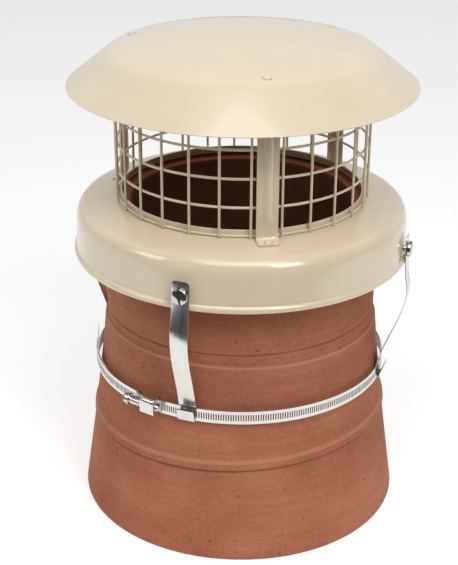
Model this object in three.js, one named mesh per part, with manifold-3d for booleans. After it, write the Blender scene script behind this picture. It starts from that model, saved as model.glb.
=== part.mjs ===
// Strap-on chimney cowl with rain cap and wire guard, clamped on a short tapered clay pot.
// Millimetres, +Z up, the foot of the pot on z = 0, the front towards -Y.
import * as THREE from 'three';
import { mergeVertices } from 'three/addons/utils/BufferGeometryUtils.js';
import Module from 'manifold-3d';

// Clay pot
const potHeight = 290.4;
const potFootRadius = 148.3;
const potStepZ = 180.2;
const potStepRadius = 124.9;
const potCollarRadius = 122.8;
const potBoreTop = 98;
const potBoreFoot = 126;
const potEdge = 1.8;

// Pressed base flange
const sheet = 1.2;
const neckRadius = 108.1;
const neckTopZ = 300.9;
const shoulderInZ = 294.8;
const shoulderOutRadius = 139;
const shoulderOutZ = 289.1;
const skirtRadius = 149.2;
const skirtTopZ = 273.9;
const beadRadius = 3.3;
const beadCentreRadius = 148.1;
const beadCentreZ = 246.6;

// Spun rain cap
const capRadius = 153.2;
const capRimZ = 395.6;
const crownRadius = 115.5;
const crownZ = 425.6;
const crownRise = 14;

// Welded wire guard
const wireRadius = 1.15;
const wirePitch = 360 / 27;
const wireStart = 4.0;
const frontWires = 19;
const backWires = 8;
const missingWire = 6;
const ringCount = 6;
const ringPitch = 24.83;
const ringStartZ = 296.4;
const ringRadius = 110.8;
const ringSides = 27;
const uprightRadius = 112.2;
const uprightFootZ = 294.8;
const uprightTopZ = 423.6;

// Posts between the flange and the cap
const postAngles = { front: 10.6, right: 130.6, left: -109.4 };
const postWidth = 18.6;
const postRadius = 114.7;
const postToe = 124.3;
const postTip = 96.5;
const postRivetAt = 120.8;
const capRivetAt = 104;

// Hanging straps
const strapAngles = { front: -18.8, right: 74.5, back: 163, left: -112 };
const strapWidth = 15.7;
const strapGauge = 0.9;
const strapTopZ = 270;
const strapRadius = 152.0;
const strapHookRadius = 131.65;
const hookBend = 1.45;
const hookZ = 131.2;
const flapLean = 20.4;
const flapLength = 12;
const screwZ = 257.2;

// Worm-drive clip
const bandInner = 132.8;
const bandGauge = 0.8;
const bandLowZ = 131;
const bandWidth = 12.2;
const tailFrom = -40;
const tailTo = -91;
const tailLift = 1.7;
const tailEnd = 30;
const tailSpring = 3;
const clipAngle = -33.6;
const clipLift = 1.4;
const clipLength = 14.6;
const wormRadius = 139.8;
const wormSize = 4;

const gap = 0.3;
const around = 32;

const wasm = await Module();
wasm.setup();

const paint = { color: 0xe0d2ba, roughness: 0.35, metalness: 0 };
const steel = { color: 0xb9b7b2, roughness: 0.3, metalness: 1 };
const clay = { color: 0x9a5e44, roughness: 0.85, metalness: 0 };

const group = new THREE.Group();
group.name = 'chimney_cowl';

const rad = (degrees) => degrees * Math.PI / 180;
const xy = (x, y) => new THREE.Vector2(x, y);

// Bare welded geometry that faces outwards
function clean(geometry) {
  const bare = geometry.clone();
  bare.deleteAttribute('normal');
  bare.deleteAttribute('uv');
  const welded = mergeVertices(bare, 1e-4);
  const p = welded.attributes.position;
  const index = welded.index.array;
  const a = new THREE.Vector3();
  const b = new THREE.Vector3();
  const c = new THREE.Vector3();
  let volume = 0;
  for (let i = 0; i < index.length; i += 3) {
    a.fromBufferAttribute(p, index[i]);
    b.fromBufferAttribute(p, index[i + 1]);
    c.fromBufferAttribute(p, index[i + 2]);
    volume += a.dot(b.cross(c));
  }
  if (volume < 0) {
    for (let i = 0; i < index.length; i += 3) {
      [index[i + 1], index[i + 2]] = [index[i + 2], index[i + 1]];
    }
  }
  return welded;
}

function body(geometry) {
  const welded = clean(geometry);
  return new wasm.Manifold(new wasm.Mesh({
    numProp: 3,
    vertProperties: new Float32Array(welded.attributes.position.array),
    triVerts: new Uint32Array(dropSlivers(welded.index.array)),
  }));
}

function dropSlivers(index) {
  const kept = [];
  for (let i = 0; i < index.length; i += 3) {
    const [a, b, c] = [index[i], index[i + 1], index[i + 2]];
    if (a !== b && b !== c && c !== a) {
      kept.push(a, b, c);
    }
  }
  return kept;
}

function add(name, solid, look) {
  const mesh = solid.getMesh();
  const geometry = new THREE.BufferGeometry();
  const points = [];
  for (let i = 0; i < mesh.vertProperties.length; i += mesh.numProp) {
    points.push(mesh.vertProperties[i], mesh.vertProperties[i + 1], mesh.vertProperties[i + 2]);
  }
  geometry.setAttribute('position', new THREE.Float32BufferAttribute(points, 3));
  geometry.setIndex(Array.from(mesh.triVerts));
  const node = new THREE.Mesh(geometry, new THREE.MeshStandardMaterial(look));
  node.name = name;
  group.add(node);
}

// Turned body from a profile of radius and height
function turned(profile, segments = around) {
  const lathe = new THREE.LatheGeometry(profile, segments);
  lathe.rotateX(Math.PI / 2);
  return body(lathe);
}

// Points a given distance to the left of a path
function beside(path, distance) {
  return path.map((point, i) => {
    const before = path[Math.max(i - 1, 0)];
    const after = path[Math.min(i + 1, path.length - 1)];
    const into = i > 0 ? point.clone().sub(before).normalize() : null;
    const out = i < path.length - 1 ? after.clone().sub(point).normalize() : null;
    const one = into ?? out;
    const two = out ?? into;
    const side = xy(-one.y - two.y, one.x + two.x).normalize();
    const stretch = distance / Math.max(side.dot(xy(-one.y, one.x)), 0.4);
    return point.clone().addScaledVector(side, stretch);
  });
}

// Frame at an angle: X runs outwards, Y up, Z along the tangent
function station(angle) {
  const a = rad(angle);
  return new THREE.Matrix4().makeBasis(
    new THREE.Vector3(Math.sin(a), -Math.cos(a), 0),
    new THREE.Vector3(0, 0, 1),
    new THREE.Vector3(-Math.cos(a), -Math.sin(a), 0),
  );
}

function slab(outline, width, angle) {
  const flat = new THREE.ExtrudeGeometry(new THREE.Shape(outline), { depth: width, bevelEnabled: false });
  flat.translate(0, 0, -width / 2);
  flat.applyMatrix4(station(angle));
  return body(flat);
}

function strip(path, gauge, width, angle) {
  const outline = [...beside(path, gauge / 2), ...beside(path, -gauge / 2).reverse()];
  return slab(outline, width, angle);
}

// Pin turned about its own axis, from lengths along it and radii
function pin(steps, sides, angle, tilt, radius, z) {
  const lathe = new THREE.LatheGeometry(steps.map(([length, size]) => xy(size, length)), sides);
  lathe.rotateZ(tilt);
  lathe.translate(radius, z, 0);
  lathe.applyMatrix4(station(angle));
  return body(lathe);
}

const outward = -Math.PI / 2;
const upward = 0;

// Heights on the crown and on the flange's shoulder
const crownAt = (r) => crownZ + crownRise * (1 - (r / crownRadius) ** 2);
const shoulderFall = (shoulderInZ - shoulderOutZ) / (shoulderOutRadius - neckRadius - 1.1);
const shoulderAt = (r) => shoulderInZ - shoulderFall * (r - neckRadius - 1.1);

// Rain cap
const capTop = [];
for (let i = 0; i <= 5; i += 1) {
  const r = crownRadius * i / 5;
  capTop.push(xy(r, crownAt(r)));
}
capTop.push(xy(capRadius, capRimZ));
const capUnder = beside(capTop, -sheet);
capUnder[0].x = 0;
const capUnderside = capUnder.reverse();
capUnderside[0].x = capRadius - 0.9;
capUnderside[0].y = capRimZ - 0.75;
let rainCap = turned([...capTop, ...capUnderside]);

// Base flange
const flangeTop = [
  xy(neckRadius, neckTopZ),
  xy(neckRadius, shoulderInZ + 0.9),
  xy(neckRadius + 1.1, shoulderInZ),
];
const roll = new THREE.QuadraticBezierCurve(
  xy(shoulderOutRadius, shoulderOutZ),
  xy(skirtRadius - 1.1, shoulderAt(skirtRadius - 1.1)),
  xy(skirtRadius - 0.75, skirtTopZ),
);
flangeTop.push(...roll.getPoints(3));
flangeTop.push(xy(skirtRadius, beadCentreZ + 3.1));
const flangeUnder = beside(flangeTop, -sheet).reverse();
const bead = [];
for (let degrees = 20; degrees >= -220; degrees -= 48) {
  const at = xy(Math.cos(rad(degrees)), Math.sin(rad(degrees))).multiplyScalar(beadRadius);
  bead.push(at.add(xy(beadCentreRadius, beadCentreZ)));
}
const flangeRing = [...flangeTop, ...bead, ...flangeUnder];
let baseFlange = turned([...flangeRing, flangeRing[0]]);

// Wire guard
const wires = [];
for (let i = 0; i < ringCount; i += 1) {
  const ring = new THREE.TorusGeometry(ringRadius, wireRadius, 4, ringSides);
  ring.translate(0, 0, ringStartZ + i * ringPitch);
  wires.push(body(ring));
}
// The mesh is rolled up: its pitch breaks behind the right post and one place at the back is open
const wireAngles = [];
for (let i = 0; i < frontWires; i += 1) {
  wireAngles.push(wireStart + (i - (frontWires - 1) / 2) * wirePitch);
}
const seamAngle = wireAngles[frontWires - 1] + wirePitch * 1.5;
for (let i = 0; i < backWires; i += 1) {
  if (i !== missingWire) {
    wireAngles.push(seamAngle + i * wirePitch);
  }
}
for (const angle of wireAngles) {
  const upright = uprightTopZ - uprightFootZ;
  const steps = [[0, 0], [0, wireRadius], [upright, wireRadius], [upright, 0]];
  wires.push(pin(steps, 4, angle, upward, uprightRadius, uprightFootZ));
}
add('mesh_guard', wasm.Manifold.union(wires), paint);

// Posts with their rivets
const toePath = (r) => xy(r, shoulderAt(r) + gap + sheet / 2);
const tipPath = (r) => xy(r, crownAt(r) - sheet - gap - sheet / 2 - 0.3);
const postPath = [
  toePath(postToe),
  toePath(postRadius + 2.4),
  xy(postRadius + 0.6, shoulderAt(postRadius) + 2.2),
  xy(postRadius, shoulderAt(postRadius) + 4.4),
  xy(postRadius, crownAt(postRadius) - 6),
  xy(postRadius - 0.7, crownAt(postRadius) - 3.4),
  tipPath(postRadius - 3.2),
  tipPath(postTip),
];
const headHigh = 1.7;
const crownLean = -Math.atan(2 * crownRise * capRivetAt / crownRadius ** 2);
const shoulderLean = -Math.atan(shoulderFall);
for (const [side, angle] of Object.entries(postAngles)) {
  const atCrown = (steps) => pin(steps, 6, angle, crownLean, capRivetAt, crownAt(capRivetAt));
  const atToe = (steps) => pin(steps, 6, angle, shoulderLean, postRivetAt, shoulderAt(postRivetAt));
  const bore = [[-8, 0], [-8, 2.4], [5, 2.4], [5, 0]];
  const rivet = (from, to, head) => [
    [from, 0], [from, 2], [to, 2], [to, head], [to + headHigh * 0.6, head * 0.75], [to + headHigh, 0],
  ];
  const post = strip(postPath, sheet, postWidth, angle).subtract(atCrown(bore)).subtract(atToe(bore));
  rainCap = rainCap.subtract(atCrown(bore));
  baseFlange = baseFlange.subtract(atToe(bore));
  add(`post_${side}`, post, paint);
  add(`cap_rivet_${side}`, atCrown(rivet(-4.6, gap, 4)), paint);
  add(`foot_rivet_${side}`, atToe(rivet(-sheet, sheet + gap * 2.4, 3.5)), paint);
}
add('rain_cap', rainCap, paint);

// Straps with their screws and nuts
const fall = new THREE.CubicBezierCurve(
  xy(strapRadius + 1.4, 231),
  xy(strapRadius + 12, 205),
  xy(140.5, 176),
  xy(strapHookRadius, 143),
);
const strapPath = [
  xy(strapRadius - 0.2, strapTopZ),
  xy(strapRadius + 0.25, beadCentreZ),
  ...fall.getPoints(8),
];
for (let i = 0; i <= 4; i += 1) {
  const turn = rad(180 + (180 - flapLean) * i / 4);
  strapPath.push(xy(strapHookRadius + hookBend * (1 + Math.cos(turn)), hookZ + hookBend * Math.sin(turn)));
}
const flapStart = strapPath[strapPath.length - 1];
const flapRun = xy(Math.sin(rad(flapLean)), Math.cos(rad(flapLean))).multiplyScalar(flapLength);
strapPath.push(flapStart.clone().add(flapRun));
for (const [side, angle] of Object.entries(strapAngles)) {
  const hole = pin([[140, 0], [140, 3.2], [156, 3.2], [156, 0]], 6, angle, outward, 0, screwZ);
  baseFlange = baseFlange.subtract(hole);
  add(`strap_${side}`, strip(strapPath, strapGauge, strapWidth, angle).subtract(hole), steel);
  const seat = strapRadius + strapGauge / 2 + gap + 0.2;
  const screw = [
    [138, 0], [138, 2.7], [seat, 2.7], [seat, 7], [seat + 2.3, 7], [seat + 3.2, 6], [seat + 3.2, 0],
  ];
  add(`strap_screw_${side}`, pin(screw, 12, angle, outward, 0, screwZ), steel);
  const barrel = (from, to, size) => [[from, 0], [from, size], [to, size], [to, 0]];
  const nut = pin(barrel(141.6, 146.8, 5.8), 6, angle, outward, 0, screwZ);
  const thread = pin(barrel(139, 149, 3.2), 6, angle, outward, 0, screwZ);
  add(`strap_nut_${side}`, nut.subtract(thread), steel);
}
add('base_flange', baseFlange, paint);

// Worm-drive band
const bandOuter = bandInner + bandGauge;
const bandHighZ = bandLowZ + bandWidth;
const bandRing = [
  xy(bandInner, bandLowZ),
  xy(bandOuter, bandLowZ),
  xy(bandOuter, bandHighZ),
  xy(bandInner, bandHighZ),
];
// Its free tail leaves the ring beside the clip, follows it and springs clear at the end
const tailPath = [];
for (let i = 0; i <= 8; i += 1) {
  const a = rad(tailFrom + (tailTo - tailFrom) * i / 8);
  const r = bandInner + bandGauge / 2 + tailLift * i / 8;
  tailPath.push(xy(r * Math.sin(a), -r * Math.cos(a)));
}
const tailOut = xy(Math.sin(rad(tailTo)), -Math.cos(rad(tailTo)));
const tailOn = xy(-Math.cos(rad(tailTo)), -Math.sin(rad(tailTo)));
const tailLast = tailPath[tailPath.length - 1].clone();
tailPath.push(tailLast.addScaledVector(tailOn, tailEnd).addScaledVector(tailOut, tailSpring));
const tailOutline = [...beside(tailPath, bandGauge / 2), ...beside(tailPath, -bandGauge / 2).reverse()];
const tailDepth = { depth: bandWidth, bevelEnabled: false };
const tail = new THREE.ExtrudeGeometry(new THREE.Shape(tailOutline), tailDepth);
tail.translate(0, 0, bandLowZ);
add('clip_band', turned([...bandRing, bandRing[0]], 40).add(body(tail)), steel);

// Clip housing and its screw
const clipZ = bandLowZ + bandWidth / 2 + clipLift;
const clipLow = clipZ - 7.2;
const clipHigh = clipZ + 7.2;
const saddle = [
  xy(bandOuter + gap, clipLow),
  xy(wormRadius + 1.6, clipLow),
  xy(wormRadius + 6, clipLow + 3.6),
  xy(wormRadius + 6, clipHigh - 3.6),
  xy(wormRadius + 1.6, clipHigh),
  xy(bandOuter + gap, clipHigh),
];
const along = rad(90);
function worm(steps, sides) {
  const lathe = new THREE.LatheGeometry(steps.map(([length, size]) => xy(size, length)), sides);
  lathe.rotateX(along);
  lathe.translate(wormRadius, clipZ, 0);
  lathe.applyMatrix4(station(clipAngle));
  return body(lathe);
}
const wormHole = worm([[-20, 0], [-20, wormSize + 0.35], [20, wormSize + 0.35], [20, 0]], 12);
add('clip_housing', slab(saddle, clipLength, clipAngle).subtract(wormHole), steel);
const wormEnd = clipLength / 2 + 1.6;
const collarAt = 19.5;
const shank = worm([[-wormEnd, 0], [-wormEnd, wormSize], [collarAt, wormSize], [collarAt, 0]], 12);
const collar = worm([[collarAt, 0], [collarAt, 5.4], [collarAt + 1.8, 5.4], [collarAt + 1.8, 0]], 12);
const hex = worm([[collarAt + 1, 0], [collarAt + 1, 4.5], [collarAt + 6.2, 4.5], [collarAt + 6.2, 0]], 6);
add('clip_screw', wasm.Manifold.union([shank, collar, hex]), steel);

// Clay pot
const potRing = [
  xy(potBoreFoot + potEdge, 0),
  xy(potFootRadius - potEdge, 0),
  xy(potFootRadius, potEdge),
  xy(137.9, 72.8),
  xy(127.7, 152.8),
  xy(potStepRadius, potStepZ - 1),
  xy(potStepRadius - 0.4, potStepZ + 0.4),
  xy(potCollarRadius, potStepZ + 1.8),
  xy(potCollarRadius, potHeight - potEdge),
  xy(potCollarRadius - potEdge, potHeight),
  xy(potBoreTop + potEdge, potHeight),
  xy(potBoreTop, potHeight - potEdge),
  xy(potBoreFoot, potEdge),
];
add('chimney_pot', turned([...potRing, potRing[0]]), clay);

export default group;
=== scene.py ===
import math

import bpy
from mathutils import Matrix, Vector


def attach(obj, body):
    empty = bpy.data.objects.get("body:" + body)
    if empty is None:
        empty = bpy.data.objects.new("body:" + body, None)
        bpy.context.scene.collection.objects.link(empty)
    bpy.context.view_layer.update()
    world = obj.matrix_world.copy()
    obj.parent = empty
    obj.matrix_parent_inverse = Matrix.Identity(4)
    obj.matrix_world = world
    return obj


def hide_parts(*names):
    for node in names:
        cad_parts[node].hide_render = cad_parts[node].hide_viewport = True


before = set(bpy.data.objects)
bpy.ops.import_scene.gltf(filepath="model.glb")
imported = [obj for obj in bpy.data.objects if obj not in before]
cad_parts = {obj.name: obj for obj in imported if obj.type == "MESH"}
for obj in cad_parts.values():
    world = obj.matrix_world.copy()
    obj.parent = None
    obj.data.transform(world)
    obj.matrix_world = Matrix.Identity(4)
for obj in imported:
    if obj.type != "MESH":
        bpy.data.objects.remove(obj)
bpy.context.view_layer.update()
mm = 0.001
fullTurn = 2 * math.pi


# Small helpers for drawing with the edit-mode tools

def letGo():
    if bpy.context.object and bpy.context.object.mode != "OBJECT":
        bpy.ops.object.mode_set(mode="OBJECT")
    bpy.ops.object.select_all(action="DESELECT")


def startPoint(name, point):
    letGo()
    bpy.ops.mesh.primitive_plane_add(size=mm)
    piece = bpy.context.object
    piece.name = name
    piece.data.name = name
    bpy.ops.object.mode_set(mode="EDIT")
    bpy.ops.mesh.select_mode(type="VERT")
    bpy.ops.mesh.select_all(action="SELECT")
    bpy.ops.mesh.merge(type="CENTER")
    bpy.ops.transform.translate(value=point)
    return piece


def pullAlong(points):
    for here, there in zip(points, points[1:]):
        bpy.ops.mesh.extrude_region_move(TRANSFORM_OT_translate={"value": there - here})


def side(r, z):
    return Vector((r * mm, 0, z * mm))


def curveThrough(a, b, c, steps):
    # quadratic bend from a to c that leans towards b
    spots = []
    for i in range(steps + 1):
        t = i / steps
        spots.append((
            (1 - t) ** 2 * a[0] + 2 * t * (1 - t) * b[0] + t * t * c[0],
            (1 - t) ** 2 * a[1] + 2 * t * (1 - t) * b[1] + t * t * c[1],
        ))
    return spots


def arcAround(centre, radius, fromDeg, toDeg, steps):
    spots = []
    for i in range(steps + 1):
        a = math.radians(fromDeg + (toDeg - fromDeg) * i / steps)
        spots.append((centre[0] + radius * math.cos(a), centre[1] + radius * math.sin(a)))
    return spots


def evenSteps(a, b, steps):
    return [(a[0] + (b[0] - a[0]) * i / steps, a[1] + (b[1] - a[1]) * i / steps) for i in range(1, steps)]


def spinUp(name, profile, steps):
    # lathe: the profile is drawn point by point and spun round the flue's axis
    points = [side(r, z) for r, z in profile]
    piece = startPoint(name, points[0])
    pullAlong(points)
    bpy.ops.mesh.select_all(action="SELECT")
    bpy.ops.mesh.spin(steps=steps, angle=fullTurn, center=(0, 0, 0), axis=(0, 0, 1))
    bpy.ops.mesh.select_all(action="SELECT")
    bpy.ops.mesh.remove_doubles(threshold=0.002 * mm)
    bpy.ops.mesh.normals_make_consistent(inside=False)
    bpy.ops.object.mode_set(mode="OBJECT")
    return piece


def faceOut(piece, awayFrom):
    # turns an open sheet over if its faces look towards the given point
    score = sum(f.area * f.normal.dot(f.center - awayFrom) for f in piece.data.polygons)
    if score < 0:
        bpy.ops.object.mode_set(mode="EDIT")
        bpy.ops.mesh.select_all(action="SELECT")
        bpy.ops.mesh.flip_normals()
        bpy.ops.object.mode_set(mode="OBJECT")


def thicken(piece, gauge, offset):
    wall = piece.modifiers.new("gauge", "SOLIDIFY")
    wall.thickness = gauge * mm
    wall.offset = offset
    wall.use_even_offset = True
    bpy.ops.object.modifier_apply(modifier=wall.name)


def easeEdges(piece, width, segments, angle=35):
    ease = piece.modifiers.new("eased", "BEVEL")
    ease.width = width * mm
    ease.segments = segments
    ease.limit_method = "ANGLE"
    ease.angle_limit = math.radians(angle)
    bpy.ops.object.modifier_apply(modifier=ease.name)


def pickPoints(piece, test):
    # selects vertices by their place; ends in edit mode
    bpy.ops.object.mode_set(mode="EDIT")
    bpy.ops.mesh.select_mode(type="VERT")
    bpy.ops.mesh.select_all(action="DESELECT")
    bpy.ops.object.mode_set(mode="OBJECT")
    for v in piece.data.vertices:
        v.select = test(v.co)
    bpy.ops.object.mode_set(mode="EDIT")


def settle(piece, angle=0.0, smooth=32):
    # turns the piece to its place round the flue and leaves it at the origin
    letGo()
    piece.select_set(True)
    bpy.context.view_layer.objects.active = piece
    piece.rotation_euler = (0, 0, math.radians(angle))
    bpy.ops.object.transform_apply(location=True, rotation=True, scale=True)
    bpy.ops.object.shade_smooth_by_angle(angle=math.radians(smooth))


def copyTo(piece, name, angle):
    letGo()
    piece.select_set(True)
    bpy.context.view_layer.objects.active = piece
    bpy.ops.object.duplicate()
    twin = bpy.context.object
    twin.name = name
    twin.data.name = name
    twin.rotation_euler = (0, 0, math.radians(angle))
    bpy.ops.object.transform_apply(location=False, rotation=True, scale=False)
    return twin


def joinInto(piece, others):
    letGo()
    for other in others:
        other.select_set(True)
    piece.select_set(True)
    bpy.context.view_layer.objects.active = piece
    bpy.ops.object.join()


def fitOut(piece, material, slotName, *nodes):
    piece.data.materials.clear()
    piece.data.materials.append(material)
    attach(piece, "root")
    if nodes:
        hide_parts(*nodes)


# Finishes

def startFinish(name):
    finish = bpy.data.materials.new(name)
    finish.use_nodes = True
    tree = finish.node_tree
    shader = tree.nodes["Principled BSDF"]
    place = tree.nodes.new("ShaderNodeTexCoord")
    return finish, tree, shader, place.outputs["Object"]


def addNoise(tree, place, scale, detail, stretch=(1, 1, 1), roughness=0.55):
    mapping = tree.nodes.new("ShaderNodeMapping")
    mapping.inputs["Scale"].default_value = stretch
    tree.links.new(place, mapping.inputs["Vector"])
    noise = tree.nodes.new("ShaderNodeTexNoise")
    noise.inputs["Scale"].default_value = scale
    noise.inputs["Detail"].default_value = detail
    noise.inputs["Roughness"].default_value = roughness
    tree.links.new(mapping.outputs["Vector"], noise.inputs["Vector"])
    return noise.outputs["Fac"]


def addRamp(tree, source, stops):
    ramp = tree.nodes.new("ShaderNodeValToRGB")
    while len(ramp.color_ramp.elements) < len(stops):
        ramp.color_ramp.elements.new(0.5)
    for element, (place, colour) in zip(ramp.color_ramp.elements, stops):
        element.position = place
        element.color = (*colour, 1)
    tree.links.new(source, ramp.inputs["Fac"])
    return ramp.outputs["Color"]


def addMix(tree, factor, one, two):
    mix = tree.nodes.new("ShaderNodeMix")
    mix.data_type = "RGBA"
    tree.links.new(factor, mix.inputs["Factor"])
    tree.links.new(one, mix.inputs["A"])
    mix.inputs["B"].default_value = (*two, 1)
    return mix.outputs["Result"]


def addRange(tree, source, fromLow, fromHigh, low, high):
    remap = tree.nodes.new("ShaderNodeMapRange")
    remap.inputs["From Min"].default_value = fromLow
    remap.inputs["From Max"].default_value = fromHigh
    remap.inputs["To Min"].default_value = low
    remap.inputs["To Max"].default_value = high
    tree.links.new(source, remap.inputs["Value"])
    return remap.outputs["Result"]


def addTimes(tree, one, two):
    times = tree.nodes.new("ShaderNodeMath")
    times.operation = "MULTIPLY"
    tree.links.new(one, times.inputs[0])
    tree.links.new(two, times.inputs[1])
    return times.outputs["Value"]


def addBump(tree, shader, height, strength, depth, under=None):
    bump = tree.nodes.new("ShaderNodeBump")
    bump.inputs["Strength"].default_value = strength
    bump.inputs["Distance"].default_value = depth * mm
    tree.links.new(height, bump.inputs["Height"])
    if under:
        tree.links.new(under, bump.inputs["Normal"])
    tree.links.new(bump.outputs["Normal"], shader.inputs["Normal"])
    return bump.outputs["Normal"]


def addReach(tree, place):
    # distance from the flue's axis
    flat = tree.nodes.new("ShaderNodeMapping")
    flat.inputs["Scale"].default_value = (1, 1, 0)
    tree.links.new(place, flat.inputs["Vector"])
    length = tree.nodes.new("ShaderNodeVectorMath")
    length.operation = "LENGTH"
    tree.links.new(flat.outputs["Vector"], length.inputs[0])
    return length.outputs["Value"]


def addHeight(tree, place):
    split = tree.nodes.new("ShaderNodeSeparateXYZ")
    tree.links.new(place, split.inputs["Vector"])
    return split.outputs["Z"]


def addBelow(tree, source, at, soft, share=1):
    # the full share below a length in millimetres, nothing above it
    return addRange(tree, source, (at - soft) * mm, (at + soft) * mm, share, 0)


def addLine(tree, height, at, width, share):
    # the full share on a level line, falling to nothing at its edges
    off = tree.nodes.new("ShaderNodeMath")
    off.operation = "SUBTRACT"
    tree.links.new(height, off.inputs[0])
    off.inputs[1].default_value = at * mm
    reach = tree.nodes.new("ShaderNodeMath")
    reach.operation = "ABSOLUTE"
    tree.links.new(off.outputs["Value"], reach.inputs[0])
    return addRange(tree, reach.outputs["Value"], width * 0.4 * mm, width * mm, share, 0)


def srgb(hexText):
    values = [int(hexText[i:i + 2], 16) / 255 for i in (0, 2, 4)]
    return tuple(v / 12.92 if v <= 0.04045 else ((v + 0.055) / 1.055) ** 2.4 for v in values)


def toneStops(tones):
    return [(place, srgb(hexText)) for place, hexText in tones]


# Cream paint: even gloss with faint clouds, flecks and peel, and painted shade inside the neck

# the shade tone is painted shade for the neck's inside, not a colour of the paint
paint = {"tones": ((0.3, "ddcdb1"), (0.55, "e0d1b6"), (0.8, "e3d5bc")), "cloudScale": 14, "fleck": "b9a88c",
         "fleckScale": 900, "fleckAt": (0.74, 0.82), "fleckShare": 0.12, "paintedShade": "6f573c",
         "neckInside": 107.1, "neckSoft": 0.5, "neckRim": 300.5, "rimSoft": 0.3, "sheenScale": 60,
         "roughness": (0.16, 0.22), "coat": 0.5, "coatRoughness": 0.06, "peelScale": 420,
         "peelStrength": 0.08, "peelDeep": 0.4}


def makeCreamPaint():
    finish, tree, shader, place = startFinish("creamPaint")
    clouds = addNoise(tree, place, paint["cloudScale"], 3)
    base = addRamp(tree, clouds, toneStops(paint["tones"]))
    freckles = addNoise(tree, place, paint["fleckScale"], 2)
    spots = addRange(tree, freckles, *paint["fleckAt"], 0, paint["fleckShare"])
    flecked = addMix(tree, spots, base, srgb(paint["fleck"]))
    # painted shade: the neck's inside below the rim is coloured dark brown to stand for the shade where it
    # looks into the dark flue
    inside = addBelow(tree, addReach(tree, place), paint["neckInside"], paint["neckSoft"])
    underRim = addBelow(tree, addHeight(tree, place), paint["neckRim"], paint["rimSoft"])
    colour = addMix(tree, addTimes(tree, inside, underRim), flecked, srgb(paint["paintedShade"]))
    tree.links.new(colour, shader.inputs["Base Color"])
    sheen = addRange(tree, addNoise(tree, place, paint["sheenScale"], 4), 0.3, 0.7, *paint["roughness"])
    tree.links.new(sheen, shader.inputs["Roughness"])
    shader.inputs["Coat Weight"].default_value = paint["coat"]
    shader.inputs["Coat Roughness"].default_value = paint["coatRoughness"]
    peel = addNoise(tree, place, paint["peelScale"], 2)
    addBump(tree, shader, peel, paint["peelStrength"], paint["peelDeep"])
    return finish


# Stainless steel: upright brushing, smoother on the screws

steel = {"streakScale": 260, "streakStretch": (1, 1, 0.05), "streakDark": 0.86, "brushScale": 700,
         "brushStretch": (1, 1, 0.08), "brushStrength": 0.06, "brushDeep": 0.3,
         "stainless": {"tint": (0.74, 0.73, 0.71), "roughness": (0.16, 0.28)},
         "screwSteel": {"tint": (0.62, 0.58, 0.53), "roughness": (0.08, 0.15)}}


def makeStainless(name):
    finish, tree, shader, place = startFinish(name)
    tint = steel[name]["tint"]
    streaks = addNoise(tree, place, steel["streakScale"], 4, steel["streakStretch"])
    dark = tuple(t * steel["streakDark"] for t in tint)
    tree.links.new(addRamp(tree, streaks, [(0.25, dark), (0.75, tint)]), shader.inputs["Base Color"])
    shader.inputs["Metallic"].default_value = 1
    sheen = addRange(tree, streaks, 0.25, 0.75, *steel[name]["roughness"])
    tree.links.new(sheen, shader.inputs["Roughness"])
    brush = addNoise(tree, place, steel["brushScale"], 2, steel["brushStretch"])
    addBump(tree, shader, brush, steel["brushStrength"], steel["brushDeep"])
    return finish


# Terracotta: clouded clay with turning rings, grain and scattered pits

clay = {"tones": ((0.28, "935439"), (0.46, "a66446"), (0.6, "b06e50"), (0.78, "b97f62")), "cloudScale": 11,
        "cloudStretch": (1, 1, 1.6), "cloudRough": 0.6, "ringTone": "8d543d", "ringScale": 10,
        "ringStretch": (0.7, 0.7, 24), "ringShare": 0.35, "grainTone": "c08a70", "grainScale": 420,
        "grainShare": 0.35, "pitTone": "5f3626", "pitScale": 150, "scatterScale": 90, "fineScale": 500,
        "roughness": 0.82, "specular": 0.25}
# painted highlights and shadows: a painted highlight along the pot's ledge, a painted highlight and a
# painted shadow along its tilted ring, and painted shade in the bore
paintedLight = {"ledgeHighlightTone": "d3a58c", "ledgeZ": 180.3, "ledgeWide": 1.4, "ledgeShare": 0.36, "tilt": 2.5,
        "rubTone": "cf9d82", "rubZ": 93.8, "rubWide": 2.2, "rubShare": 0.3,
        "dirtTone": "6e3d2a", "dirtZ": 85.2, "dirtWide": 1.6, "dirtShare": 0.5,
        "boreShadeTone": "43281a", "boreTaper": 28 / 290.4, "boreFoot": 128.0, "boreSoft": 0.5, "boreShare": 0.85}


def addPits(tree, place):
    pits = tree.nodes.new("ShaderNodeTexVoronoi")
    pits.inputs["Scale"].default_value = clay["pitScale"]
    pits.inputs["Randomness"].default_value = 1
    tree.links.new(place, pits.inputs["Vector"])
    scatter = addRange(tree, addNoise(tree, place, clay["scatterScale"], 2), 0.56, 0.66, 0, 1)
    holes = addRange(tree, pits.outputs["Distance"], 0.1, 0.2, 1, 0)
    return addTimes(tree, scatter, holes)


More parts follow.
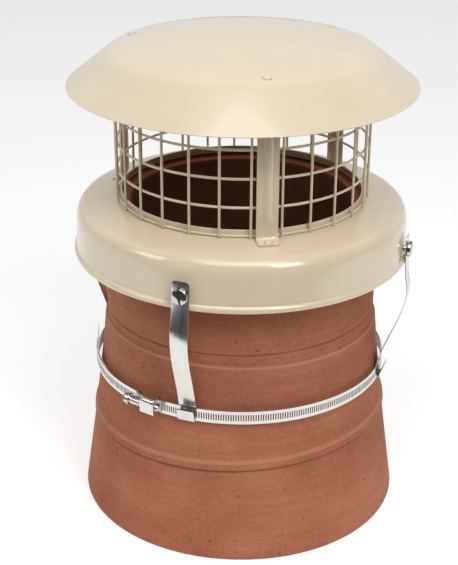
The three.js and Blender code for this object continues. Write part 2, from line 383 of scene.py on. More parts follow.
def addPaintedLight(tree, place, colour):
    height = addHeight(tree, place)
    # painted highlight: a lighter line along the ledge's edge, where light catches the step
    ledge = addLine(tree, height, paintedLight["ledgeZ"], paintedLight["ledgeWide"], paintedLight["ledgeShare"])
    colour = addMix(tree, ledge, colour, srgb(paintedLight["ledgeHighlightTone"]))
    tilted = tree.nodes.new("ShaderNodeMapping")
    tilted.inputs["Rotation"].default_value = (0, math.radians(paintedLight["tilt"]), 0)
    tree.links.new(place, tilted.inputs["Vector"])
    level = addHeight(tree, tilted.outputs["Vector"])
    # a painted highlight on the ring's upper slope and a painted shadow along its lower edge, both tilted
    # with the ring
    for kind in ("rub", "dirt"):
        line = addLine(tree, level, paintedLight[kind + "Z"], paintedLight[kind + "Wide"], paintedLight[kind + "Share"])
        colour = addMix(tree, line, colour, srgb(paintedLight[kind + "Tone"]))
    # painted shade: the bore is coloured dark to stand for the shade inside the pot; the bore tapers, so its
    # dark inside is picked by distance from the axis and height together
    taper = tree.nodes.new("ShaderNodeMath")
    taper.operation = "MULTIPLY_ADD"
    taper.inputs[1].default_value = paintedLight["boreTaper"]
    tree.links.new(height, taper.inputs[0])
    tree.links.new(addReach(tree, place), taper.inputs[2])
    bore = addBelow(tree, taper.outputs["Value"], paintedLight["boreFoot"], paintedLight["boreSoft"], paintedLight["boreShare"])
    return addMix(tree, bore, colour, srgb(paintedLight["boreShadeTone"]))


def makeTerracotta():
    finish, tree, shader, place = startFinish("terracotta")
    clouds = addNoise(tree, place, clay["cloudScale"], 6, clay["cloudStretch"], clay["cloudRough"])
    base = addRamp(tree, clouds, toneStops(clay["tones"]))
    rings = addNoise(tree, place, clay["ringScale"], 5, clay["ringStretch"])
    ringed = addRange(tree, rings, 0.35, 0.7, 0, clay["ringShare"])
    turned = addMix(tree, ringed, base, srgb(clay["ringTone"]))
    grain = addNoise(tree, place, clay["grainScale"], 5)
    speckled = addRange(tree, grain, 0.45, 0.75, 0, clay["grainShare"])
    grained = addMix(tree, speckled, turned, srgb(clay["grainTone"]))
    pitted = addPits(tree, place)
    weathered = addMix(tree, pitted, grained, srgb(clay["pitTone"]))
    # the clay colour then takes painted highlights and shadows along the ledge and ring, and painted shade
    # in the bore
    tree.links.new(addPaintedLight(tree, place, weathered), shader.inputs["Base Color"])
    shader.inputs["Roughness"].default_value = clay["roughness"]
    shader.inputs["Specular IOR Level"].default_value = clay["specular"]
    grainBump = addBump(tree, shader, addNoise(tree, place, clay["fineScale"], 6), 0.35, 0.5)
    ringBump = addBump(tree, shader, rings, 0.3, 0.8, grainBump)
    addBump(tree, shader, addRange(tree, pitted, 0, 1, 1, 0), 0.6, 0.6, ringBump)
    return finish


creamPaint = makeCreamPaint()
stainless = makeStainless("stainless")
screwSteel = makeStainless("screwSteel")
terracotta = makeTerracotta()
print("finishes made")


# Rain cap: a spun sheet with a soft crease between crown and cone

cap = {"rimRadius": 153.2, "rimZ": 395.6, "crownRadius": 115.5, "crownZ": 425.6, "rise": 14.0, "gauge": 1.2,
       "crease": 4.0, "lipIn": 0.5, "lipUp": 0.4, "edge": 0.35, "steps": 192}


def crownAt(r):
    return cap["crownZ"] + cap["rise"] * (1 - (r / cap["crownRadius"]) ** 2)


def makeRainCap():
    edge = cap["crownRadius"]
    soft = cap["crease"]
    slope = (cap["rimZ"] - cap["crownZ"]) / (cap["rimRadius"] - edge)
    crown = [(r, crownAt(r)) for r in [0] + [(edge - soft) * i / 14 for i in range(1, 15)]]
    coneTop = (edge + soft, cap["crownZ"] + slope * soft)
    bend = curveThrough(crown[-1], (edge, cap["crownZ"]), coneTop, 6)[1:]
    rim = (cap["rimRadius"], cap["rimZ"])
    cone = evenSteps(bend[-1], rim, 6)
    lip = [(rim[0] - cap["lipIn"], rim[1] + cap["lipUp"]), rim]
    piece = spinUp("rainCap", [*crown, *bend, *cone, *lip], cap["steps"])
    faceOut(piece, Vector((0, 0, 0.2)))
    thicken(piece, cap["gauge"], -1)
    easeEdges(piece, cap["edge"], 2, 60)
    settle(piece, 0, 40)
    fitOut(piece, creamPaint, "cream_paint", "rain_cap")


makeRainCap()
print("rain cap made")


# Base flange: neck, sloping shoulder, rolled shoulder edge, skirt and rolled bead

base = {"neck": 108.1, "neckTop": 300.9, "foot": 294.8, "shoulderOut": 139.0, "shoulderOutZ": 289.1,
        "skirt": 149.2, "skirtTop": 273.9, "beadRadius": 3.3, "beadCentre": (148.1, 246.6), "gauge": 1.2,
        "footOut": 1.1, "fillet": 2.2, "innerBend": 1.4, "draft": 0.75, "beadJoin": 3.4, "steps": 192}
shoulderFall = (base["foot"] - base["shoulderOutZ"]) / (base["shoulderOut"] - base["neck"] - base["footOut"])


def shoulderAt(r):
    return base["foot"] - shoulderFall * (r - base["neck"] - base["footOut"])


def makeBaseFlange():
    neck = base["neck"]
    foot = base["foot"]
    gauge = base["gauge"]
    soft = base["fillet"]
    inside = neck - gauge
    lip = arcAround((neck - gauge / 2, base["neckTop"] - gauge / 2), gauge / 2, 180, 0, 6)
    fillet = curveThrough((neck, foot + soft), (neck, foot), (neck + soft, shoulderAt(neck + soft)), 5)
    shoulderEnd = (base["shoulderOut"], base["shoulderOutZ"])
    shoulder = evenSteps(fillet[-1], shoulderEnd, 8)
    cornerRadius = base["skirt"] - base["footOut"]
    skirtTop = (base["skirt"] - base["draft"], base["skirtTop"])
    roll = curveThrough(shoulderEnd, (cornerRadius, shoulderAt(cornerRadius)), skirtTop, 14)
    cx, cz = base["beadCentre"]
    beadTop = (base["skirt"], cz + base["beadJoin"])
    skirt = evenSteps(roll[-1], beadTop, 6)
    bead = arcAround((cx, cz), base["beadRadius"], 52, -205, 18)
    outer = [*lip, *fillet, *shoulder, *roll, *skirt, beadTop, *bead]
    # the inside runs back up one gauge behind the outside
    back = [(base["skirt"] - gauge, beadTop[1] + gauge / 2), (skirtTop[0] - gauge, skirtTop[1])]
    back += [(r - gauge * 0.75, z - gauge * 0.75) for r, z in reversed(roll[1:-1])]
    back += [(r, shoulderAt(r) - gauge) for r in (base["shoulderOut"], neck + base["innerBend"])]
    back += [(inside, foot - gauge / 3), lip[0]]
    piece = spinUp("baseFlange", [*outer, *back], base["steps"])
    settle(piece, 0, 45)
    fitOut(piece, creamPaint, "cream_paint", "base_flange")


makeBaseFlange()
print("base flange made")


# Wire guard: rings inside, uprights welded on outside

guard = {"wire": 1.15, "pitchAngle": 360 / 27, "startAngle": 4.0, "frontWires": 19, "backWires": 8,
         "missing": 6, "rings": 6, "pitch": 24.83, "firstZ": 296.4, "ringRadius": 110.5,
         "uprightRadius": 112.2, "footZ": 294.8, "topZ": 423.6, "cutEdge": 0.35}


def uprightAngles():
    # the pitch breaks behind the right post, and one place at the back is open
    step = guard["pitchAngle"]
    half = (guard["frontWires"] - 1) / 2
    angles = [guard["startAngle"] + (i - half) * step for i in range(guard["frontWires"])]
    seam = angles[-1] + step * 1.5
    return angles + [seam + i * step for i in range(guard["backWires"]) if i != guard["missing"]]


def makeWireGuard():
    wires = []
    for i in range(guard["rings"]):
        letGo()
        bpy.ops.mesh.primitive_torus_add(
            major_radius=guard["ringRadius"] * mm, minor_radius=guard["wire"] * mm,
            major_segments=108, minor_segments=10,
            location=(0, 0, (guard["firstZ"] + i * guard["pitch"]) * mm))
        wires.append(bpy.context.object)
    height = guard["topZ"] - guard["footZ"]
    for angle in uprightAngles():
        a = math.radians(angle)
        spot = Vector((math.sin(a), -math.cos(a), 0)) * guard["uprightRadius"] * mm
        spot.z = (guard["footZ"] + height / 2) * mm
        letGo()
        bpy.ops.mesh.primitive_cylinder_add(vertices=12, radius=guard["wire"] * mm, depth=height * mm,
                                            location=spot)
        wires.append(bpy.context.object)
        easeEdges(bpy.context.object, guard["cutEdge"], 2, 60)
    joinInto(wires[0], wires[1:])
    piece = wires[0]
    piece.name = "wireGuard"
    piece.data.name = "wireGuard"
    settle(piece, 0, 50)
    fitOut(piece, creamPaint, "cream_paint", "mesh_guard")


makeWireGuard()
print("wire guard made")


# Posts: folded strip with a pressed half-round rib

post = {"angles": {"front": 10.6, "right": 130.6, "left": -109.4}, "width": 18.6, "radius": 114.7,
        "toe": 124.3, "tip": 96.5, "gauge": 1.2, "gap": 0.3, "ribWidth": 6.8, "ribHigh": 2.3,
        "ribFoot": 315.0, "ribTop": 416.0, "ribRunOut": 3.0, "corner": 3.2, "edge": 0.3}


def outFront(x, r, z):
    return Vector((x * mm, -r * mm, z * mm))


def makePosts():
    lift = post["gap"] + post["gauge"] / 2
    radius = post["radius"]

    def toe(r):
        return (r, shoulderAt(r) + lift)

    def tip(r):
        return (r, crownAt(r) - cap["gauge"] - lift - 0.3)

    low = shoulderAt(radius) + 5.5
    high = crownAt(radius) - 6
    foot = curveThrough(toe(radius + 4.2), toe(radius + 0.4), (radius, low), 5)
    rows = [low + (high - low) * i / 26 for i in range(1, 26)]
    head = curveThrough((radius, high), (radius, crownAt(radius) - 2.4), tip(radius - 3.6), 5)
    path = [toe(post["toe"]), *foot, *[(radius, z) for z in rows], *head, tip(post["tip"])]
    half = post["width"] / 2
    rib = post["ribWidth"] / 2
    columns = [-half, -rib, -rib * 0.86, -rib * 0.5, 0, rib * 0.5, rib * 0.86, rib, half]
    start = [outFront(x, *path[0]) for x in columns]
    piece = startPoint("postFront", start[0])
    pullAlong(start)
    bpy.ops.mesh.select_all(action="SELECT")
    pullAlong([outFront(0, r, z) for r, z in path])
    bpy.ops.object.mode_set(mode="OBJECT")
    for x in columns[2:-2]:
        share = math.sqrt(max(0.0, 1 - (x / rib) ** 2))
        for reach, part in ((post["ribRunOut"], 0.55), (-post["ribRunOut"], 0.45)):
            # two lifts make the rib run out softly at its ends
            pickPoints(piece, lambda p: abs(p.x - x * mm) < 0.01 * mm
                       and post["ribFoot"] - reach < p.z / mm < post["ribTop"] + reach)
            bpy.ops.transform.translate(value=(0, -post["ribHigh"] * share * part * mm, 0))
            bpy.ops.object.mode_set(mode="OBJECT")
    pickPoints(piece, lambda p: abs(abs(p.x) - half * mm) < 0.01 * mm and p.y < -(post["toe"] - 0.1) * mm)
    bpy.ops.mesh.bevel(offset=post["corner"] * mm, segments=4, affect="VERTICES")
    bpy.ops.mesh.select_all(action="SELECT")
    bpy.ops.mesh.normals_make_consistent(inside=False)
    bpy.ops.object.mode_set(mode="OBJECT")
    thicken(piece, post["gauge"], 0)
    easeEdges(piece, post["edge"], 2, 60)
    settle(piece, 0, 40)
    pieces = {"front": piece}
    for name in ("right", "left"):
        pieces[name] = copyTo(piece, "post" + name.capitalize(), post["angles"][name])
    settle(piece, post["angles"]["front"], 40)
    for name, made in pieces.items():
        fitOut(made, creamPaint, "cream_paint", "post_" + name)


makePosts()
print("posts made")


# Rivets: domed heads at the cap and at the post's foot

rivet = {"capAt": 104.0, "footAt": 120.8, "capHead": 4.0, "footHead": 3.5, "high": 1.7, "shank": 2.0,
         "headEdge": 0.3, "capTail": -4.6, "capSeat": 0.1, "footTail": -1.2, "footSeat": 1.7}


def makeRivet(name, headRadius, fromZ, seatZ):
    profile = [(0, fromZ), (rivet["shank"], fromZ), (rivet["shank"], seatZ), (headRadius, seatZ)]
    for i in range(1, 9):
        a = math.radians(90 * i / 8)
        dome = (rivet["high"] - rivet["headEdge"]) * math.sin(a)
        profile.append((headRadius * math.cos(a), seatZ + rivet["headEdge"] + dome))
    profile[-1] = (0, seatZ + rivet["high"])
    return spinUp(name, profile, 32)


def makeRivets():
    crownLean = math.atan(2 * cap["rise"] * rivet["capAt"] / cap["crownRadius"] ** 2)
    toeLean = math.atan(shoulderFall)
    heights = {"cap": crownAt(rivet["capAt"]), "foot": shoulderAt(rivet["footAt"])}
    for row, lean in (("cap", crownLean), ("foot", toeLean)):
        middle = outFront(0, rivet[row + "At"], heights[row])
        spot = Matrix.Translation(middle) @ Matrix.Rotation(lean, 4, "X")
        for name, angle in post["angles"].items():
            piece = makeRivet(row + "Rivet" + name.capitalize(), rivet[row + "Head"], rivet[row + "Tail"],
                              rivet[row + "Seat"])
            piece.data.transform(spot)
            settle(piece, angle, 40)
            fitOut(piece, creamPaint, "cream_paint", row + "_rivet_" + name)


makeRivets()
print("rivets made")


# Straps: bent stainless strip, screwed to the skirt and hooked under the band

strap = {"angles": {"front": -18.8, "right": 74.5, "back": 163.0, "left": -112.0}, "width": 15.7,
         "gauge": 0.9, "topZ": 270.0, "radius": 152.0, "leaveZ": 231.0, "bulge": (9.0, 205.0),
         "pullIn": (140.5, 176.0), "tuckZ": 143.0, "hookRadius": 131.65, "hookBend": 1.45, "hookZ": 131.2,
         "flapLean": 20.4, "flapCorner": 1.2, "edge": 0.18,
         "flapLength": 12.0, "corner": 3.6, "frontHang": 1.15}
screw = {"z": 257.2, "seat": 152.95, "head": 7.0, "high": 3.2, "shank": 2.7, "from": 138.0, "slotWide": 1.7,
         "slotDeep": 1.8, "slotTurn": 8.0}


def bezierAt(t, a, b, c, d):
    s = 1 - t
    shares = (s ** 3, 3 * s * s * t, 3 * s * t * t, t ** 3)
    return tuple(sum(w * p[i] for w, p in zip(shares, (a, b, c, d))) for i in range(2))


def makeStraps():
    r = strap["radius"]
    leave = (r + 1.4, strap["leaveZ"])
    bulge = (r + strap["bulge"][0], strap["bulge"][1])
    tuck = (strap["hookRadius"], strap["tuckZ"])
    fall = [bezierAt(i / 22, leave, bulge, strap["pullIn"], tuck) for i in range(23)]
    hook = arcAround((strap["hookRadius"] + strap["hookBend"], strap["hookZ"]), strap["hookBend"], 180,
                     360 - strap["flapLean"], 10)
    lean = math.radians(strap["flapLean"])
    flap = strap["flapLength"]
    end = (hook[-1][0] + flap * math.sin(lean), hook[-1][1] + flap * math.cos(lean))
    head = (r - 0.2, strap["topZ"])
    overBead = (r + 0.25, base["beadCentre"][1])
    path = [head, *evenSteps(head, overBead, 3), overBead, *fall, *hook, end]
    half = strap["width"] / 2
    start = [outFront(-half, *path[0]), outFront(half, *path[0])]
    piece = startPoint("strapFront", start[0])
    pullAlong(start)
    bpy.ops.mesh.select_all(action="SELECT")
    pullAlong([outFront(0, u, v) for u, v in path])
    bpy.ops.object.mode_set(mode="OBJECT")
    pickPoints(piece, lambda p: p.z > (strap["topZ"] - 0.1) * mm)
    bpy.ops.mesh.bevel(offset=strap["corner"] * mm, segments=5, affect="VERTICES")
    bpy.ops.object.mode_set(mode="OBJECT")
    pickPoints(piece, lambda p: (p - outFront(p.x / mm, *end)).length < 0.1 * mm)
    bpy.ops.mesh.bevel(offset=strap["flapCorner"] * mm, segments=3, affect="VERTICES")
    bpy.ops.mesh.select_all(action="SELECT")
    bpy.ops.mesh.normals_make_consistent(inside=False)
    bpy.ops.object.mode_set(mode="OBJECT")
    thicken(piece, strap["gauge"], 0)
    easeEdges(piece, strap["edge"], 2, 60)
    settle(piece, 0, 40)
    pieces = {"front": piece}
    for name in ("right", "back", "left"):
        pieces[name] = copyTo(piece, "strap" + name.capitalize(), strap["angles"][name])
    pivot = Matrix.Translation(outFront(0, r, screw["z"]))
    hang = Matrix.Rotation(math.radians(strap["frontHang"]), 4, "Y")
    piece.data.transform(pivot @ hang @ pivot.inverted())
    settle(piece, strap["angles"]["front"], 40)
    for name, made in pieces.items():
        fitOut(made, stainless, "stainless", "strap_" + name)


makeStraps()
print("straps made")


# Strap screws: slotted cheese heads

def makeStrapScrews():
    h = screw["high"]
    length = screw["seat"] - screw["from"]
    shank = screw["shank"]
    head = screw["head"]
    profile = [(0, -length), (shank - 0.5, -length), (shank, -length + 0.6), (shank, 0)]
    profile += [(head - 0.3, 0), (head, 0.3)]
    profile += curveThrough((head, h - 1.0), (head, h - 0.35), (head - 0.9, h - 0.2), 4)
    profile += [(head - 1.6, h), (0, h)]
    piece = spinUp("strapScrewFront", profile, 48)
    bpy.ops.object.select_all(action="DESELECT")
    bpy.ops.mesh.primitive_cube_add(size=1, location=(0, 0, h * mm),
                                    scale=(screw["slotWide"] * mm, 20 * mm, 2 * screw["slotDeep"] * mm))
    cutter = bpy.context.object
    letGo()
    piece.select_set(True)
    bpy.context.view_layer.objects.active = piece
    cut = piece.modifiers.new("slot", "BOOLEAN")
    cut.operation = "DIFFERENCE"
    cut.object = cutter
    bpy.ops.object.modifier_apply(modifier=cut.name)
    bpy.data.objects.remove(cutter)
    slotTurn = Matrix.Rotation(math.radians(screw["slotTurn"]), 4, "Z")
    turn = Matrix.Rotation(math.radians(90), 4, "X") @ slotTurn
    piece.data.transform(Matrix.Translation(outFront(0, screw["seat"], screw["z"])) @ turn)
    settle(piece, 0, 32)
    pieces = {"front": piece}
    for name in ("right", "back", "left"):
        pieces[name] = copyTo(piece, "strapScrew" + name.capitalize(), strap["angles"][name])
    settle(piece, strap["angles"]["front"], 32)
    for name, made in pieces.items():
        fitOut(made, screwSteel, "stainless", "strap_screw_" + name)
    for name in strap["angles"]:
        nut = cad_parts["strap_nut_" + name]
        nut.data.materials.clear()
        nut.data.materials.append(screwSteel)


makeStrapScrews()
print("strap screws made")


# Clip band: thin ring with punched slots

band = {"inner": 132.8, "gauge": 0.8, "lowZ": 131.0, "width": 12.2, "slots": 390, "slotHigh": 6.0,
        "tailFrom": -40.0, "tailTo": -91.0, "tailLift": 1.7, "tailEnd": 30.0, "tailSpring": 3.0,
        "tailSteps": 138}


def tailPath():
    # follows the ring, then runs straight on and springs clear of it
    centre = band["inner"] + band["gauge"] / 2
    sweep = math.radians(band["tailTo"] - band["tailFrom"])
    arc = abs(sweep) * centre
    turn = math.radians(band["tailTo"])
    out = Vector((math.sin(turn), -math.cos(turn), 0))
    onward = Vector((-math.cos(turn), -math.sin(turn), 0))
    points = []
    for i in range(band["tailSteps"] + 1):
        run = (arc + band["tailEnd"]) * i / band["tailSteps"]
        share = min(run / arc, 1)
        a = math.radians(band["tailFrom"]) + sweep * share
        point = Vector((math.sin(a), -math.cos(a), 0)) * (centre + band["tailLift"] * share)
        past = max(run - arc, 0)
        point += onward * past + out * band["tailSpring"] * (past / band["tailEnd"]) ** 2
        points.append(point * mm)
    return points


def makeBandTail(middle):
    low = Vector((0, 0, band["lowZ"] * mm))
    path = [point + low for point in tailPath()]
    piece = startPoint("bandTail", path[0])
    pullAlong(path)
    edge = (band["width"] - band["slotHigh"]) / 2
    bpy.ops.mesh.select_all(action="SELECT")
    for rise in (edge, band["slotHigh"], edge):
        bpy.ops.mesh.extrude_region_move(TRANSFORM_OT_translate={"value": (0, 0, rise * mm)})
    bpy.ops.mesh.select_mode(type="FACE")
    bpy.ops.mesh.select_all(action="DESELECT")
    bpy.ops.object.mode_set(mode="OBJECT")
    spots = [(here + there) / 2 for here, there in zip(path, path[1:])]
    for f in piece.data.polygons:
        nearest = min(range(len(spots)), key=lambda i: (spots[i].xy - f.center.xy).length)
        f.select = abs(f.center.z / mm - middle) < 1 and nearest % 2 == 1
    bpy.ops.object.mode_set(mode="EDIT")
    bpy.ops.mesh.delete(type="FACE")
    bpy.ops.mesh.select_mode(type="VERT")
    bpy.ops.mesh.select_all(action="SELECT")
    bpy.ops.mesh.normals_make_consistent(inside=False)
    bpy.ops.object.mode_set(mode="OBJECT")
    thicken(piece, band["gauge"], 0)
    return piece


def makeClipBand():
    letGo()
    middle = band["lowZ"] + band["width"] / 2
    radius = band["inner"] + band["gauge"]
    bpy.ops.mesh.primitive_cylinder_add(vertices=band["slots"] * 2, radius=radius * mm,
                                        depth=band["width"] * mm, end_fill_type="NOTHING",
                                        location=(0, 0, middle * mm))
    piece = bpy.context.object
    piece.name = "clipBand"
    piece.data.name = "clipBand"
    bpy.ops.object.transform_apply(location=True, rotation=True, scale=True)
    bpy.ops.object.mode_set(mode="EDIT")
    for z in (middle - band["slotHigh"] / 2, middle + band["slotHigh"] / 2):
        bpy.ops.mesh.select_all(action="SELECT")
        bpy.ops.mesh.bisect(plane_co=(0, 0, z * mm), plane_no=(0, 0, 1))
    bpy.ops.mesh.select_mode(type="FACE")
    bpy.ops.mesh.select_all(action="DESELECT")
    bpy.ops.object.mode_set(mode="OBJECT")
    step = fullTurn / band["slots"]
    for f in piece.data.polygons:
        turn = math.atan2(f.center.y, f.center.x) / step
        f.select = abs(f.center.z / mm - middle) < 1 and (turn % 1) < 0.5
    bpy.ops.object.mode_set(mode="EDIT")
    bpy.ops.mesh.delete(type="FACE")
    bpy.ops.object.mode_set(mode="OBJECT")
    thicken(piece, band["gauge"], -1)
    joinInto(piece, [makeBandTail(middle)])
    settle(piece, 0, 40)
    fitOut(piece, stainless, "stainless", "clip_band")


makeClipBand()
print("clip band made")


# Worm clip: pressed housing, threaded worm and slotted hexagon head

clip = {"angle": -33.6, "length": 14.6, "inner": 133.9, "outer": 145.8, "middleZ": 138.5, "high": 16.6,
        "lift": 1.1, "crown": 4.2, "edge": 0.5, "axis": 139.8, "worm": 4.0, "root": 3.2, "pitch": 2.15,
        "turns": 13, "threadFrom": -8.8, "core": 3.1, "coreFrom": -8.9, "collarAt": 21.5, "collar": 5.4,
        "collarThick": 1.8, "hexagon": 4.5, "end": 27.8, "slotWide": 1.4, "slotDeep": 1.6}


def makeClipHousing():
    letGo()
    depth = clip["outer"] - clip["inner"]
    spot = outFront(0, clip["inner"] + depth / 2, clip["middleZ"] + clip["lift"])
    bpy.ops.mesh.primitive_cube_add(size=1, location=spot,
                                    scale=(clip["length"] * mm, depth * mm, clip["high"] * mm))
    piece = bpy.context.object
    piece.name = "clipHousing"
    piece.data.name = "clipHousing"
    bpy.ops.object.transform_apply(location=True, rotation=True, scale=True)
    bpy.ops.object.mode_set(mode="EDIT")
    bpy.ops.mesh.select_mode(type="EDGE")
    bpy.ops.mesh.select_all(action="DESELECT")
    bpy.ops.object.mode_set(mode="OBJECT")
    for e in piece.data.edges:
        ends = [piece.data.vertices[i].co for i in e.vertices]
        e.select = all(p.y < -(clip["outer"] - 0.1) * mm for p in ends) and abs(ends[0].x - ends[1].x) > mm
    bpy.ops.object.mode_set(mode="EDIT")
    bpy.ops.mesh.bevel(offset=clip["crown"] * mm, segments=6)
    bpy.ops.object.mode_set(mode="OBJECT")
    easeEdges(piece, clip["edge"], 3, 50)
    settle(piece, clip["angle"], 40)
    fitOut(piece, stainless, "stainless", "clip_housing")


def makeClipScrew():
    # drawn along +Z, then laid along the tangent
    root = clip["root"]
    crest = clip["worm"]
    start = [side(root, 0), side(crest, 0.5), side(crest, 0.95), side(root, 1.45), side(root, clip["pitch"])]
    piece = startPoint("clipScrew", start[0])
    pullAlong(start)
    bpy.ops.object.mode_set(mode="OBJECT")
    thread = piece.modifiers.new("thread", "SCREW")
    thread.axis = "Z"
    thread.angle = fullTurn
    thread.screw_offset = clip["pitch"] * mm
    thread.iterations = clip["turns"]
    thread.steps = 24
    thread.render_steps = 24
    thread.use_merge_vertices = True
    bpy.ops.object.modifier_apply(modifier=thread.name)
    bpy.ops.object.mode_set(mode="EDIT")
    bpy.ops.mesh.select_all(action="SELECT")
    bpy.ops.mesh.remove_doubles(threshold=0.01 * mm)
    bpy.ops.mesh.normals_make_consistent(inside=False)
    bpy.ops.transform.translate(value=(0, 0, clip["threadFrom"] * mm))
    bpy.ops.object.mode_set(mode="OBJECT")
    core = clip["core"]
    low = clip["coreFrom"]
    seat = clip["collarAt"]
    stub = spinUp("wormCore", [(0, low), (core - 0.5, low), (core, low + 0.5), (core, seat + 0.5),
                               (0, seat + 0.5)], 24)
    rim = clip["collar"]
    back = seat + clip["collarThick"]
    collar = spinUp("wormCollar", [(0, seat), (rim - 0.4, seat), (rim, seat + 0.4), (rim, back - 0.3),
                                   (rim - 0.4, back), (0, back)], 32)
    letGo()
    high = clip["end"] - clip["collarAt"] - 1.5
    bpy.ops.mesh.primitive_cylinder_add(vertices=6, radius=clip["hexagon"] * mm, depth=high * mm,
                                        location=(0, 0, (clip["end"] - high / 2) * mm))
    hexagon = bpy.context.object
    bpy.ops.object.transform_apply(location=True, rotation=True, scale=True)
    easeEdges(hexagon, 0.4, 2, 30)
    letGo()
    bpy.ops.mesh.primitive_cube_add(size=1, location=(0, 0, clip["end"] * mm),
                                    scale=(clip["slotWide"] * mm, 14 * mm, 2 * clip["slotDeep"] * mm))
    cutter = bpy.context.object
    letGo()
    hexagon.select_set(True)
    bpy.context.view_layer.objects.active = hexagon
    cut = hexagon.modifiers.new("slot", "BOOLEAN")
    cut.operation = "DIFFERENCE"
    cut.object = cutter
    bpy.ops.object.modifier_apply(modifier=cut.name)
    bpy.data.objects.remove(cutter)
    joinInto(piece, [stub, collar, hexagon])
    lay = Matrix.Rotation(math.radians(-90), 4, "Y")
    piece.data.transform(Matrix.Translation(outFront(0, clip["axis"], clip["middleZ"])) @ lay)
    settle(piece, clip["angle"], 32)
    fitOut(piece, stainless, "stainless", "clip_screw")


makeClipHousing()
makeClipScrew()
print("worm clip made")


# Clay pot: tapered body, stepped collar, scored line and rounded foot

pot = {"height": 290.4, "foot": 148.3, "knee": (137.9, 72.8), "waist": (127.7, 152.8), "stepZ": 180.2,
       "step": 125.3, "collar": 122.8, "boreTop": 98.0, "boreFoot": 126.0, "edge": 1.8, "scoreZ": 191.4,
       "scoreDeep": 1.1, "scoreTilt": 0.8, "ringZ": 90.5, "ringTilt": 2.5, "ringShift": -0.75, "steps": 192}


def ringProfile():
    # a low rounded ridge on the tapered body, with a crisp lower edge
    (kneeR, kneeZ), (waistR, waistZ) = pot["knee"], pot["waist"]
    z = pot["ringZ"]
    r = kneeR + (waistR - kneeR) * (z - kneeZ) / (waistZ - kneeZ)
    return [(r + 0.55, z - 5.4), (r + 1.7, z - 4.4), (r + 1.9, z - 2.2), (r + 1.45, z + 1.6),
            (r + 1.1, z + 3.2), (r - 0.6, z + 4.9)]


def makeChimneyPot():
    edge = pot["edge"]
    knee = pot["knee"]
    waist = pot["waist"]
    foot = arcAround((pot["foot"] - edge, edge), edge, -90, -8, 4)
    lower = evenSteps(foot[-1], knee, 8)
    ring = ringProfile()
    middle = [knee, *evenSteps(knee, ring[0], 4), *ring, *evenSteps(ring[-1], waist, 5)]
    upper = [waist, *evenSteps(waist, (pot["step"], pot["stepZ"] - 1.6), 4)]
    step = [(pot["step"], pot["stepZ"] - 1.4), (pot["step"] - 0.15, pot["stepZ"] - 0.4),
            (pot["step"] - 0.6, pot["stepZ"] + 0.5), (pot["collar"] + 0.25, pot["stepZ"] + 1.7),
            (pot["collar"], pot["stepZ"] + 2.6)]
    score = pot["scoreZ"]
    groove = [(pot["collar"], score - 1.0), (pot["collar"] - pot["scoreDeep"], score - 0.15),
              (pot["collar"] - pot["scoreDeep"], score + 0.15), (pot["collar"], score + 0.8)]
    wall = evenSteps(groove[-1], (pot["collar"], pot["height"] - edge), 8)
    top = arcAround((pot["collar"] - edge, pot["height"] - edge), edge, 0, 90, 4)
    mouth = arcAround((pot["boreTop"] + edge, pot["height"] - edge), edge, 90, 180, 4)
    bore = evenSteps(mouth[-1], (pot["boreFoot"], edge), 10)
    under = arcAround((pot["boreFoot"] + edge, edge), edge, 180, 270, 4)
    profile = [*foot, *lower, *middle, *upper, *step, *groove, *wall, *top, *mouth, *bore, *under, foot[0]]
    piece = spinUp("chimneyPot", profile, pot["steps"])
    pickPoints(piece, lambda p: abs(p.z / mm - score) < 1.3 and p.xy.length > (pot["collar"] - 2) * mm)
    bpy.ops.transform.rotate(value=math.radians(pot["scoreTilt"]), orient_axis="Y",
                             center_override=(0, 0, score * mm))
    bpy.ops.object.mode_set(mode="OBJECT")
    pickPoints(piece, lambda p: abs(p.z / mm - pot["ringZ"]) < 5.6 and p.xy.length > 130 * mm)
    bpy.ops.transform.rotate(value=math.radians(pot["ringTilt"]), orient_axis="Y",
                             center_override=(0, 0, pot["ringZ"] * mm))
    bpy.ops.transform.translate(value=(pot["ringShift"] * mm, 0, 0))
    bpy.ops.object.mode_set(mode="OBJECT")
    settle(piece, 0, 50)
    fitOut(piece, terracotta, "terracotta", "chimney_pot")


makeChimneyPot()
print("clay pot made")


# Floor, light and camera

stageSet = {"floor": 8.0, "floorFront": -0.5, "floorColour": (0.74, 0.74, 0.74), "floorRoughness": 0.9,
            "worldFront": 0.07, "worldBack": 0.75, "worldTurn": (-0.1, 0.6), "glow": 0.45, "glowFrom": 0.2,
            "glowTo": 0.75, "paper": 0.95}
softboxes = (
    {"name": "mainBox", "at": (0.0, -1.0, 2.2), "size": 1.6, "tall": 1.6, "power": 27},
    {"name": "keyBox", "at": (0.85, -1.3, 1.45), "size": 0.6, "tall": 1.0, "power": 14},
    {"name": "leftBox", "at": (-1.45, -0.65, 1.2), "size": 0.7, "tall": 0.7, "power": 6},
)
lens = {"at": (0, -1.13376, 0.72187), "down": 24.5546, "left": 0.547, "roll": 0.4025, "pixels": 1345.402,
        "pictureHigh": 565, "sensor": 36.0}


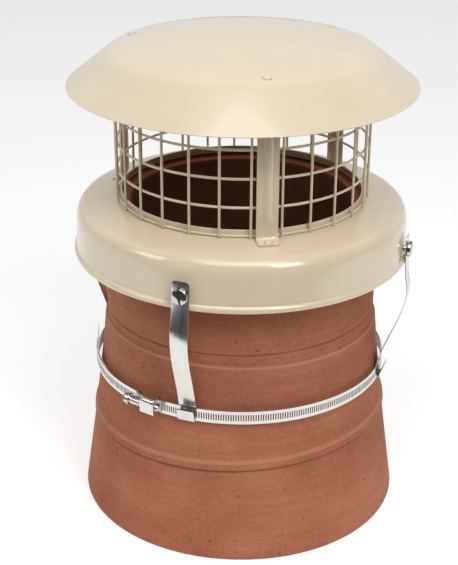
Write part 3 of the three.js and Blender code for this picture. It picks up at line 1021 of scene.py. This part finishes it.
def makeFloor():
    letGo()
    middle = stageSet["floorFront"] + stageSet["floor"] / 2
    bpy.ops.mesh.primitive_plane_add(size=stageSet["floor"], location=(0, middle, 0))
    floor = bpy.context.object
    floor.name = "floor"
    finish, tree, shader, place = startFinish("floorPaper")
    soft = addNoise(tree, place, 3, 2)
    tone = stageSet["floorColour"]
    colour = addRamp(tree, soft, [(0.3, tuple(t * 0.985 for t in tone)), (0.7, tone)])
    tree.links.new(colour, shader.inputs["Base Color"])
    shader.inputs["Roughness"].default_value = stageSet["floorRoughness"]
    # the paper is lit up away from the part, as in a white studio cove
    shader.inputs["Emission Color"].default_value = (1, 1, 1, 1)
    reach = addReach(tree, place)
    away = addRange(tree, reach, stageSet["glowFrom"], stageSet["glowTo"], 0, stageSet["glow"])
    tree.links.new(away, shader.inputs["Emission Strength"])
    floor.data.materials.append(finish)


def makeLights():
    world = bpy.data.worlds.new("studio")
    bpy.context.scene.world = world
    world.use_nodes = True
    sky = world.node_tree.nodes["Background"]
    sky.inputs["Color"].default_value = (1, 1, 1, 1)
    tree = world.node_tree
    way = tree.nodes.new("ShaderNodeTexCoord")
    split = tree.nodes.new("ShaderNodeSeparateXYZ")
    tree.links.new(way.outputs["Generated"], split.inputs["Vector"])
    turn = stageSet["worldTurn"]
    glow = addRange(tree, split.outputs["Y"], *turn, stageSet["worldFront"], stageSet["worldBack"])
    # the lens sees pale paper on every side, and the part sees the softer glow
    rays = tree.nodes.new("ShaderNodeLightPath")
    seen = tree.nodes.new("ShaderNodeMix")
    tree.links.new(rays.outputs["Is Camera Ray"], seen.inputs["Factor"])
    tree.links.new(glow, seen.inputs["A"])
    seen.inputs["B"].default_value = stageSet["paper"]
    tree.links.new(seen.outputs["Result"], sky.inputs["Strength"])
    target = Vector((0, 0, 0.26))
    for spec in softboxes:
        letGo()
        bpy.ops.object.light_add(type="AREA", location=spec["at"])
        lamp = bpy.context.object
        lamp.name = spec["name"]
        lamp.data.shape = "RECTANGLE"
        lamp.data.size = spec["size"]
        lamp.data.size_y = spec["tall"]
        lamp.data.energy = spec["power"]
        lamp.rotation_euler = (target - lamp.location).to_track_quat("-Z", "Y").to_euler()


def makeCamera():
    letGo()
    bpy.ops.object.camera_add()
    camera = bpy.context.object
    turn = Matrix.Rotation(math.radians(lens["left"]), 4, "Z")
    tilt = Matrix.Rotation(math.radians(90 - lens["down"]), 4, "X")
    roll = Matrix.Rotation(math.radians(lens["roll"]), 4, "Z")
    camera.matrix_world = Matrix.Translation(lens["at"]) @ turn @ tilt @ roll
    camera.data.sensor_width = lens["sensor"]
    camera.data.lens = lens["pixels"] / lens["pictureHigh"] * lens["sensor"]
    camera.data.dof.use_dof = False
    camera.data.clip_start = 0.01
    bpy.context.scene.camera = camera
    bpy.context.scene.view_settings.view_transform = "Standard"


makeFloor()
makeLights()
makeCamera()
print("stage set")
